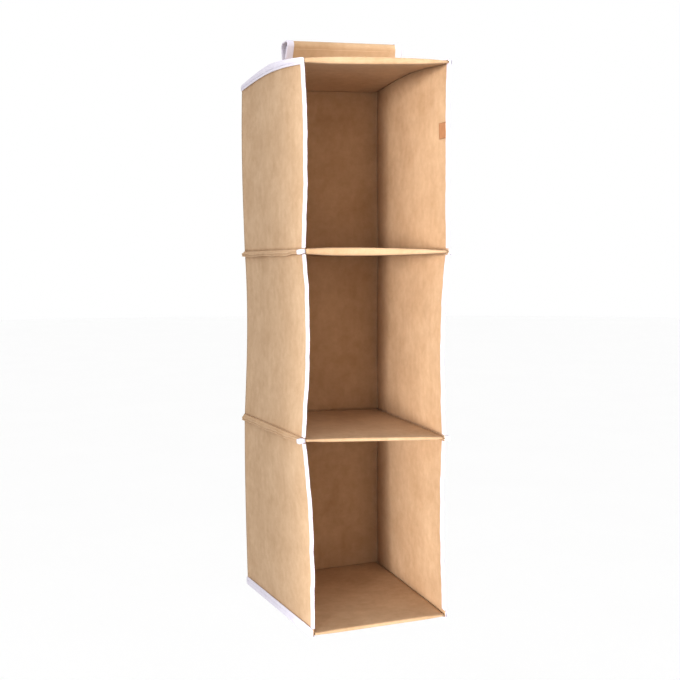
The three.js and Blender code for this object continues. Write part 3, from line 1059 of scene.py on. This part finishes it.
@dataclass(frozen=True)
class Shelf:
    """One shelf's sewn edges: a fin along each side and the back, and a wrapped tab at each front end."""

    number: int
    droop: float = math.radians(36)
    inner: float = 1.1 * MM
    fullness: float = 0.72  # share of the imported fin's reach that is left once the cloth has curled
    groove: float = 0.86  # share of the fin's thickness that is left where the stitches pull it in
    groove_at: float = 4.4 * MM
    tab_share: float = 0.84
    tab_corner: float = 2.0 * MM

    @property
    def prefix(self) -> str:
        """The shelf's name, which is its body's too."""
        return f"shelf_{self.number}"

    def fin_section(self, reach: float) -> list[Vector]:
        """Section of a fin: three folded layers, x outward from the wall's inner face."""
        half = PANEL / 2
        start = -self.inner
        layer = half / 3 * 1.02
        top = [Vector((start, half * 1.12)), Vector((2.0 * MM, half * 1.12))]
        top.append(Vector((self.groove_at, half * self.groove)))
        top += [Vector((6.2 * MM, half)), Vector((reach - 1.6 * MM, half * 0.98))]
        bumps: list[Vector] = []
        for lift, short in ((2 * layer, 0.0), (0.0, 0.9 * MM), (-2 * layer, 0.2 * MM)):
            bumps += arc((reach - layer - short, lift), layer, math.pi / 2.2, -math.pi / 2.2, 6)
        bottom = [Vector((p.x, -p.y)) for p in reversed(top)]
        return run(top, 1.6 * MM) + bumps + run(bottom, 1.6 * MM)

    def fall(self, co: Vector) -> Vector:
        """Where a point of a fin ends up, once the fin has dropped against the wall below.

        Args:
            co: The point on the fin as it sticks straight out.

        Returns:
            The point on the fin as it hangs.
        """
        wall = WALL_FACE - WALL
        back = HANG.half_depth - WALL
        out = Vector((math.copysign(max(abs(co.x) - wall, 0.0), co.x), max(co.y - back, 0.0)))
        reach = out.length
        if reach == 0:
            return co
        waver = 0.8 + 0.5 * noise.noise(Vector((co.x * 15, co.y * 17, self.number * 3.0)))
        turn = self.droop * waver * mix(0.25, 1.0, smooth(co.y, FRONT + 12 * MM, FRONT + 90 * MM))
        turn *= smooth(reach, 2 * MM, 7 * MM)
        shift = out * (math.cos(turn) - 1)
        return co + Vector((shift.x, shift.y, -reach * math.sin(turn)))

    def fin(
        self, word: str, places: Sequence[Vector], out: Vector, reach: float, seam: Sequence[Vector]
    ) -> None:
        """One fin, and its stitches over and under.

        Args:
            word: Where the fin is.
            places: The line of its root.
            out: The way that it sticks out.
            reach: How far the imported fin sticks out.
            seam: Both ends of its line of stitches, in the middle of the fin.
        """
        stations = [standing(place, out, Vector((0, 0, 1))) for place in places]
        section = self.fin_section(reach * self.fullness)
        pattern = Pattern().sweep(section, puckered(stations, STITCH_PITCH, 0.07))
        piece = pattern.move(self.fall).finish(f"{self.prefix}_{word}_fin")
        fit_out(piece, CLOTH_FINISH, self.prefix, [f"{self.prefix}_{word}_seam"])
        for face, sign in (("over", 1), ("under", -1)):
            lift = Vector((0, 0, sign * PANEL / 2 * self.groove))
            line = [end + lift for end in seam]
            spots = [(self.fall(p), way, up) for p, way, up in seam_line(line, Vector((0, 0, sign)))]
            sew(f"{self.prefix}_{word}_fin_stitches_{face}", spots, TAN_THREAD, self.prefix)

    def side_fin(self, side: Side) -> None:
        """The fin along one side wall."""
        low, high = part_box(f"{self.prefix}_{side.word}_seam")
        wall = side.value * (WALL_FACE - WALL)
        level = (low[2] + high[2]) / 2
        places = [Vector((wall, y, level)) for y in steps(low[1], high[1], STITCH_PITCH / 2)]
        x = wall + side.value * self.groove_at
        seam = [Vector((x, y, level)) for y in (low[1] + TAPE_REACH, high[1] - MM)]
        self.fin(side.word, places, Vector((side.value, 0, 0)), high[0] - low[0], seam)

    def back_fin(self) -> None:
        """The fin along the back wall."""
        low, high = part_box(f"{self.prefix}_back_seam")
        level = (low[2] + high[2]) / 2
        half = WALL_FACE + WALL
        places = [Vector((x, low[1], level)) for x in steps(-half, half, STITCH_PITCH / 2)]
        ends = (2 * MM - WALL_FACE, WALL_FACE - 2 * MM)
        seam = [Vector((x, low[1] + self.groove_at, level)) for x in ends]
        self.fin("back", places, Vector((0, 1, 0)), high[1] - low[1], seam)

    def tab(self, side: Side) -> None:
        """White tape wrapped round the front end of a side fin."""
        node = f"{self.prefix}_{side.word}_tab"
        low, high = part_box(node)
        size = high - low
        small = Vector((size.x * self.tab_share, size.y * 0.92, size.z * (self.tab_share + 0.05)))
        middle = (low + high) / 2
        middle.x -= side.value * (size.x - small.x) / 2
        middle.y -= (size.y - small.y) / 2
        place = Matrix.Translation(middle) @ Matrix.Diagonal((*small, 1))
        pattern = Pattern()
        bm = pattern.bm
        bmesh.ops.create_cube(bm, size=1, matrix=place)
        open_faces = [f for f in bm.faces if f.normal.y > 0.5 or f.normal.x * side.value < -0.5]
        bmesh.ops.delete(bm, geom=open_faces, context="FACES")
        shared = [e for e in bm.edges if not e.is_boundary]
        rounding = {"segments": 4, "profile": 0.5, "affect": "EDGES", "material": -1}
        bmesh.ops.bevel(bm, geom=shared, offset=self.tab_corner, **rounding)
        bmesh.ops.subdivide_edges(bm, edges=bm.edges, cuts=1, use_grid_fill=True)
        for vert in bm.verts:
            vert[pattern.along], vert[pattern.across] = vert.co.x, vert.co.z
        piece = pattern.move(self.fall).finish(f"{self.prefix}_{side.word}_tab_tape")
        thick = piece.modifiers.new("tape", "SOLIDIFY")
        thick.thickness, thick.offset = 0.8 * MM, -1
        fit_out(piece, TAPE_FINISH, self.prefix, [node])

    def build(self) -> None:
        """Make the shelf's sewn edges."""
        for side in Side:
            self.side_fin(side)
            self.tab(side)
        self.back_fin()


@dataclass(frozen=True)
class Hem:
    """Tape round the outer edges of the top or the bottom panel: a folded flange against the wall."""

    prefix: str
    body: str
    level: float
    way: int  # 1 where the flange's free edge points down, -1 where it points up
    long_leg: float
    short_side: float
    crest: float = 0.0
    flange: float = 2.9 * MM
    crease: float = 0.25  # where the stitches run, as a share of the long leg
    stitch_out: float = 0.74  # how far out they lie, as a share of the flange

    def section(self) -> list[Vector]:
        """Section of the flange: x outward from the wall's outer face, y up from the panel's middle."""
        edge = self.long_leg
        over = self.short_side
        tape = 1.0 * MM
        nose = self.flange / 2
        panel = PANEL / 2 + 0.3 * MM
        inner = -4.1 * MM + 1.3 * MM
        fold = arc((nose, -edge + nose), nose - 0.1 * MM, -math.pi, 0, 8)
        face = [
            Vector((self.flange, -edge + 2.6 * nose)),
            Vector((self.flange * 0.93, -edge * self.crease - 1.0 * MM)),
            Vector((self.flange * 0.70, -edge * self.crease)),
            Vector((self.flange * 0.93, -edge * self.crease + 1.0 * MM)),
            Vector((self.flange * 1.02, over * 0.55)),
        ]
        bend = arc((self.flange - 1.9 * MM, over - 1.9 * MM), 1.9 * MM, 0, math.pi / 2, 6)
        shoulder = arc((inner + 1.2 * MM, over - 1.2 * MM), 1.2 * MM, math.pi / 2, math.pi, 4)
        under = over - 1.4 * tape
        lip = [Vector((inner, panel)), Vector((inner + tape, panel)), Vector((inner + tape, under))]
        back = [Vector((0.1 * MM, under)), Vector((0.1 * MM, 0.0))]
        outline = fold + face + bend + shoulder + lip + back
        return [Vector((p.x, self.way * p.y)) for p in run(outline, 1.5 * MM)]

    def height(self, y: float) -> float:
        """Height of the panel's middle at a depth."""
        return HANG.roof(y) if self.crest else self.level

    def lift(self, co: Vector, start: float, end: float, along: float) -> Vector:
        """Raise the crest and round both ends of the flange."""
        rise = co.z - self.height(co.y)
        panel = PANEL / 2 + 0.3 * MM
        if self.crest and rise > panel:
            share = 1 - abs(co.y) / HANG.half_depth
            rise = panel + (rise - panel) * (1 + self.crest * share / (self.short_side - panel))
        near = min(along - start, end - along)
        round_off = 3.5 * MM
        if near < round_off:
            keep = math.sqrt(max(0.0, 1 - (1 - near / round_off) ** 2))
            rise *= mix(0.62, 1.0, keep)
        return Vector((co.x, co.y, self.height(co.y) + rise))

    def sew_on(self, word: str, pattern: Pattern, line: Sequence[Vector], out: Vector) -> None:
        """Finish one of the tapes, and stitch it on along a line."""
        piece = pattern.finish(f"{self.prefix}_{word}_tape")
        fit_out(piece, TAPE_FINISH, self.body, [f"{self.prefix}_{word}_binding"])
        spots = seam_line(line, out)
        sew(f"{self.prefix}_{word}_tape_stitches", spots, WHITE_THREAD, self.body)

    def side_tape(self, side: Side) -> None:
        """The tape along one side."""
        start, end = FRONT + 1.6 * MM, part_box(f"{self.prefix}_{side.word}_binding")[1][1]
        out = Vector((side.value, 0, 0))
        stations = [
            standing(Vector((side.value * WALL_FACE, y, self.height(y))), out, Vector((0, 0, 1)))
            for y in steps(start, end, STITCH_PITCH / 2)
        ]
        pattern = Pattern().sweep(self.section(), stations)
        pattern.move(lambda co: self.lift(co, start, end, co.y))
        x = side.value * (WALL_FACE + self.flange * self.stitch_out)
        drop = self.way * self.long_leg * self.crease
        depths = steps(start + 3 * MM, end - 2 * MM, 4 * STITCH_PITCH)
        self.sew_on(side.word, pattern, [Vector((x, y, self.height(y) - drop)) for y in depths], out)

    def back_tape(self) -> None:
        """The tape along the back."""
        low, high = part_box(f"{self.prefix}_back_binding")
        out = Vector((0, 1, 0))
        stations = [
            standing(Vector((x, HANG.half_depth, self.level)), out, Vector((0, 0, 1)))
            for x in steps(low[0], high[0], STITCH_PITCH / 2)
        ]
        pattern = Pattern().sweep(self.section(), stations)
        flat = replace(self, crest=0.0)
        pattern.move(lambda co: flat.lift(co, low[0], high[0], co.x))
        y = HANG.half_depth + self.flange * self.stitch_out
        z = self.level - self.way * self.long_leg * self.crease
        self.sew_on("back", pattern, [Vector((x, y, z)) for x in (low[0] + 3 * MM, high[0] - 3 * MM)], out)

    def build(self) -> None:
        """Make the three tapes."""
        for side in Side:
            self.side_tape(side)
        self.back_tape()


@dataclass(frozen=True)
class Hanger:
    """The strap that closes round the rod: two cloths, the tapes that hold it shut and its bound ends."""

    corner: float = 8 * MM
    lean: float = math.radians(20.7)
    flap_length: float = 22 * MM
    foot: float = 12 * MM
    cloth: float = 1.1 * MM
    tape: float = 0.8 * MM
    gap: float = 0.3 * MM
    core_drop: float = 4 * MM  # the end stitches face away from a line this far below the rod's middle
    slack: float = 0.15 * MM  # between a cloth and the tape folded over its end
    binding: float = 0.75 * MM  # thickness of that tape
    hinge_start: tuple = (0, 0.0116, 0.0095)
    hinge_end: tuple = (0, 0.0044, 0.0116)

    @property
    def slope(self) -> Vector:
        """The way down the loop's front."""
        return Vector((math.sin(self.lean), -math.cos(self.lean)))

    @property
    def half_depth(self) -> float:
        """Half the loop's depth, to the middle of the cloth."""
        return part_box("hanger_rear_strap")[1][1] - 0.6 * MM

    @property
    def top(self) -> float:
        """Height of the loop's top, in the middle of the cloth."""
        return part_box("hanger_rear_strap")[1][2] - 0.6 * MM

    @property
    def half_width(self) -> float:
        """Half the strap's width, over its bound ends."""
        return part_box("flap_right_binding")[1][0]

    def root(self, y: float) -> Vector:
        """Where the strap lies on the top panel."""
        return Vector((y, HANG.roof(y) + PANEL / 2 + 0.9 * MM))

    def front_line(self, length: float, inset: float = 0.0) -> list[Vector]:
        """The front of the loop from its corner down, that far inside the flap."""
        centre = (-self.half_depth + self.corner, self.top - self.corner)
        points = arc(centre, self.corner - inset, math.pi, math.pi + self.lean, 4)
        return points + [points[-1] + self.slope * length]

    def on_flap(self, share: float) -> Vector:
        """The point at a share of the flap's way down."""
        return self.front_line(self.flap_length)[-2] + self.slope * (share * self.flap_length)

    def bend(self, piece: bpy.types.Object) -> None:
        """Bake a piece's place into its mesh; the hinge ends are read, but nothing bends where the flap peels
        off.
        """
        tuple(self.hinge_start)
        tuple(self.hinge_end)
        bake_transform(piece)

    def cut(self, line: Sequence[Vector]) -> None:
        """Work out the length of a line, which is not kept."""
        length = sum((b - a).length for a, b in zip(line, line[1:]))

    def loop_line(self) -> list[Vector]:
        """The long cloth: from its foot up the back, over the rod and down the front."""
        inner = self.half_depth - self.corner
        level = self.top - self.corner
        rear = arc((inner, level), self.corner, -self.lean, math.pi / 2, 16)
        front = arc((-inner, level), self.corner, math.pi / 2, math.pi, 14)
        foot = [self.root(self.foot + 2 * MM), self.root(4.5 * MM)]
        bend = [self.root(2 * MM) + Vector((0.3 * MM, 0.9 * MM))]
        return run(foot + bend + rear + front + self.front_line(self.flap_length)[1:], 2.2 * MM)

    def inner_line(self) -> list[Vector]:
        """The short cloth, from its foot up inside the flap."""
        inset = self.cloth + 2 * self.tape + 3 * self.gap
        corner = self.front_line(self.flap_length, inset)[:-1]
        foot_height = self.root(-2 * MM).y
        slope = Vector((math.sin(self.lean), -math.cos(self.lean)))
        low = corner[-1] + slope * ((corner[-1].y - foot_height - 0.8 * MM) / math.cos(self.lean))
        foot = [self.root(-self.foot - 2 * MM), self.root(low.x - 3 * MM)]
        return run(foot + [low] + [corner[-1]], 2.2 * MM)

    def sheet_along(
        self, line: Sequence[Vector], half: float, name: str, thickness: float
    ) -> bpy.types.Object:
        """A flat cloth that follows a line in the (y, z) plane, from one side to the other."""
        section = [Vector((x, 0)) for x in steps(-half, half, 6 * MM)]
        stations = [standing(Vector((0, p.x, p.y)), Vector((1, 0, 0)), Vector((0, 1, 0))) for p in line]
        return Pattern().sweep(section, stations, closed=False).finish(name, thickness)

    def frames(self, line: Sequence[Vector], x: float, u: Vector) -> list[Matrix]:
        """Stations along a line, each square to it."""
        out = []
        for i, p in enumerate(line):
            way = (line[min(i + 1, len(line) - 1)] - line[max(i - 1, 0)]).normalized()
            out.append(standing(Vector((x, p.x, p.y)), u, Vector((0, -way.y, way.x))))
        return out

    def end_tape(self, line: Sequence[Vector], side: Side, name: str) -> bpy.types.Object:
        """Tape folded over one end of a cloth."""
        low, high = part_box("flap_right_binding")
        leg = high[0] - low[0]
        room = self.cloth / 2 + self.slack
        fine = run(line, STITCH_PITCH / 2)
        stations = self.frames(fine, side.value * self.half_width, Vector((-side.value, 0, 0)))
        section = channel(leg, room, self.binding)
        return Pattern().sweep(section, puckered(stations, STITCH_PITCH, 0.08)).finish(name)

    def build(self) -> None:
        """Make the hanger."""
        half = self.half_width - 1.6 * MM
        loop = self.loop_line()
        inner = self.inner_line()
        strap = self.sheet_along(loop, half, "hanger_strap_cloth", self.cloth)
        fit_out(strap, CLOTH_FINISH, None, ["hanger_rear_strap", "hanger_flap"])
        self.bend(strap)
        self.cut(loop)
        short = self.sheet_along(inner, half, "hanger_front_cloth", self.cloth)
        fit_out(short, CLOTH_FINISH, "top", ["hanger_front_strap"])
        self.cut(inner)
        for side in Side:
            self.bound_end(side, loop, inner)
        self.fasteners()
        self.strap_seams(loop, half)

    def bound_end(self, side: Side, loop: Sequence[Vector], inner: Sequence[Vector]) -> None:
        """Both cloths' bound ends on one side, and their stitches."""
        above = [p for p in loop if p.y > loop[0].y + 5 * MM]
        long_tape = self.end_tape(above, side, f"hanger_{side.word}_tape")
        nodes = [f"rear_strap_{side.word}_binding", f"flap_{side.word}_binding"]
        fit_out(long_tape, TAPE_FINISH, None, nodes)
        self.bend(long_tape)
        inner_above = [p for p in inner if p.y > inner[0].y + 4 * MM]
        short_tape = self.end_tape(inner_above, side, f"hanger_front_{side.word}_tape")
        fit_out(short_tape, TAPE_FINISH, "top", [f"front_strap_{side.word}_binding"])
        x = side.value * (self.half_width - 9.5 * MM)
        lift = self.cloth / 2 + self.slack + self.binding
        frames = self.frames(above, x, Vector((-side.value, 0, 0)))
        line = [f.translation + f.col[1].to_3d().normalized() * lift * 0.97 for f in frames]

        def outward(p: Vector) -> Vector:
            """The way out of the loop."""
            return Vector((0, p.y, p.z + self.core_drop)).normalized()

        spots = seam_line(line, outward)
        stitches = sew(f"hanger_{side.word}_tape_stitches", spots, WHITE_THREAD, None)
        self.bend(stitches)

    def fasteners(self) -> None:
        """Hook tape on the flap and loop tape on the short cloth."""
        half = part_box("hook_tape")[1][0]
        across = Vector((math.cos(self.lean), math.sin(self.lean)))
        start, end = self.on_flap(0.08), self.on_flap(0.95)
        near = self.cloth / 2 + self.gap + self.tape / 2
        far = near + self.gap + self.tape
        for name, inset, finish, body in (
            ("hook_strip", near, HOOK_FINISH, "hanger_flap"),
            ("loop_strip", far, LOOP_FINISH, "top"),
        ):
            line = run([start + across * inset, end + across * inset], 3 * MM)
            piece = self.sheet_along(line, half, name, self.tape * 0.75)
            slot = "hook_tape" if name == "hook_strip" else "loop_tape"
            fit_out(piece, finish, body, [slot])
        self.hooks(start, end, near, half, across)

    def hooks(self, start: Vector, end: Vector, inset: float, half: float, across: Vector) -> None:
        """Rows of small hooks on the hook tape."""
        pattern = Pattern()
        way = (end - start).normalized()
        count = 9
        base = inset + self.tape * 0.36
        for row in range(count):
            p = start.lerp(end, (row + 0.5) / count) + across * base
            for x in steps(-half + 2 * MM, half - 2 * MM, 2 * MM):
                turn = standing(Vector((x, p.x, p.y)), Vector((1, 0, 0)), Vector((0, way.x, way.y)))
                bmesh.ops.create_cone(
                    pattern.bm,
                    cap_ends=True,
                    segments=4,
                    radius1=0.28 * MM,
                    radius2=0.1 * MM,
                    depth=0.3 * MM,
                    matrix=turn,
                )
        piece = pattern.finish("hook_strip_hooks")
        fit_out(piece, HOOK_FINISH, "hanger_flap")

    def strap_seams(self, loop: Sequence[Vector], half: float) -> None:
        """Stitches that hold the hook tape, seen on the flap's outside, and those through the foot."""
        outward = Vector((0, -math.cos(self.lean), -math.sin(self.lean)))
        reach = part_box("hook_tape")[1][0] - 1.5 * MM
        lift = outward * self.cloth * 0.52
        for word, share in (("upper", 0.12), ("lower", 0.88)):
            p = self.on_flap(share)
            line = [Vector((x, p.x, p.y)) + lift for x in (-reach, reach)]
            spots = seam_line(line, outward)
            sew(f"hook_strip_stitches_{word}", spots, TAN_THREAD, "hanger_flap")
        for word, y in (("rear", self.foot), ("front", -self.foot)):
            p = self.root(y)
            z = p.y + self.cloth * 0.5
            line = [Vector((x, p.x, z)) for x in (-half + 2 * MM, half - 2 * MM)]
            sew(f"foot_stitches_{word}", seam_line(line, Vector((0, 0, 1))), TAN_THREAD, "top")


# ---- Studio ------------------------------------------------------------------------------------


@dataclass(frozen=True)
class Studio:
    """Camera, floor and soft light."""

    eye: tuple = (-0.65917, -1.74416, -0.34699)
    turn: float = math.radians(20.54)
    tilt: float = math.radians(-4.63)
    roll: float = math.radians(-0.20)
    lens: float = 56.49
    floor_height: float = -2.2
    world_light: float = 1.0
    gamma: float = 0.79
    key_power: float = 10.0
    key_from: tuple = (-0.35, -1.6, 2.2)
    key_size: float = 1.2
    strip_power: float = 1.5
    strip_turn: float = math.radians(46)
    strip_away: float = 1.25
    strip_aim: float = 0.03
    strip_size: tuple = (0.17, 1.15)
    strip_spread: float = math.radians(20)

    def camera(self) -> None:
        """The camera, at the height of the middle shelf and to the left."""
        level_way = Vector((math.sin(self.turn), math.cos(self.turn), 0))
        ahead = level_way * math.cos(self.tilt) + Vector((0, 0, math.sin(self.tilt)))
        right = Vector((math.cos(self.turn), -math.sin(self.turn), 0))
        up = right.cross(ahead)
        level = right * math.cos(self.roll) + up * math.sin(self.roll)
        upright = up * math.cos(self.roll) - right * math.sin(self.roll)
        camera = bpy.data.cameras.new("camera")
        camera.lens, camera.sensor_width, camera.clip_start, camera.clip_end = self.lens, 36, 0.05, 100
        seat = bpy.data.objects.new("camera", camera)
        turn = Matrix((level, upright, -ahead)).transposed().to_4x4()
        turn.translation = Vector(self.eye)
        seat.matrix_world = turn
        bpy.context.scene.collection.objects.link(seat)
        bpy.context.scene.camera = seat

    def floor(self) -> None:
        """A wide pale floor, well below the organizer."""
        bm = bmesh.new()
        bmesh.ops.create_circle(bm, cap_ends=True, segments=96, radius=30)
        bmesh.ops.translate(bm, vec=(0, 0, self.floor_height), verts=bm.verts)
        mesh = bpy.data.meshes.new("floor")
        bm.to_mesh(mesh)
        bm.free()
        mesh.materials.append(PaleFloor().material())
        floor = bpy.data.objects.new("floor", mesh)
        bpy.context.scene.collection.objects.link(floor)

    def lamp(self, name: str, place: Vector, aim: Vector, size: tuple, power: float, spread: float) -> None:
        """Hang a rectangular soft light that looks at a point.

        Args:
            name: The light's name.
            place: Where it hangs.
            aim: The point that it looks at.
            size: Its width and height.
            power: Its power in watts.
            spread: How far its grid lets the light spread, in radians.
        """
        light = bpy.data.lights.new(name, "AREA")
        light.shape, light.size, light.size_y = "RECTANGLE", *size
        light.energy, light.spread = power, spread
        seat = bpy.data.objects.new(name, light)
        look = (place - aim).to_track_quat("Z", "Y").to_matrix().to_4x4()
        seat.matrix_world = Matrix.Translation(place) @ look
        bpy.context.scene.collection.objects.link(seat)

    def light(self) -> None:
        """White surroundings, a soft key from high in front, and a gridded strip through the open front."""
        world = bpy.data.worlds.new("surroundings")
        world.use_nodes = True
        ground = world.node_tree.nodes["Background"]
        ground.inputs["Color"].default_value = (1, 1, 1, 1)
        ground.inputs["Strength"].default_value = self.world_light
        bpy.context.scene.world = world
        aim = Vector((0, 0, (HANG.top + HANG.level(3)) / 2))
        size = (self.key_size, self.key_size)
        self.lamp("key", Vector(self.key_from), aim, size, self.key_power, math.pi)
        aim = Vector((self.strip_aim, -HANG.half_depth, aim.z))
        way = Vector((-math.sin(self.strip_turn), -math.cos(self.strip_turn), 0))
        place = aim + way * self.strip_away
        self.lamp("strip", place, aim, self.strip_size, self.strip_power, self.strip_spread)
        settings = bpy.context.scene.view_settings
        settings.view_transform, settings.gamma = "Standard", self.gamma

    def build(self) -> None:
        """Set it all up."""
        self.floor()
        self.light()


def main() -> None:
    """Build the organizer from the rod down."""
    studio = Studio()
    studio.camera()
    Hanger().build()
    roll = {"puff_up": 4.6 * MM, "puff_down": 2.4 * MM, "puff_at": -0.03, "roll_depth": 21 * MM}
    Cover("top", "top", HANG.top, roofed=True, **roll).build()
    Hem("top", "top", HANG.top, 1, 6 * MM, 5 * MM, crest=4 * MM).build()
    for number, body in ((1, "top"), (2, "shelf_1"), (3, "shelf_2")):
        Bay(number, body).build()
    CareLabel().build()
    Cover("shelf_1", "shelf_1", HANG.level(1), puff_up=3.8 * MM, puff_down=5.0 * MM, puff_at=-0.045).build()
    Cover("shelf_2", "shelf_2", HANG.level(2)).build()
    for number in (1, 2):
        Shelf(number).build()
    Cover("bottom", "bottom", HANG.level(3)).build()
    Hem("bottom", "bottom", HANG.level(3), -1, 8.5 * MM, 6.5 * MM).build()
    studio.build()


if __name__ == "__main__":
    main()
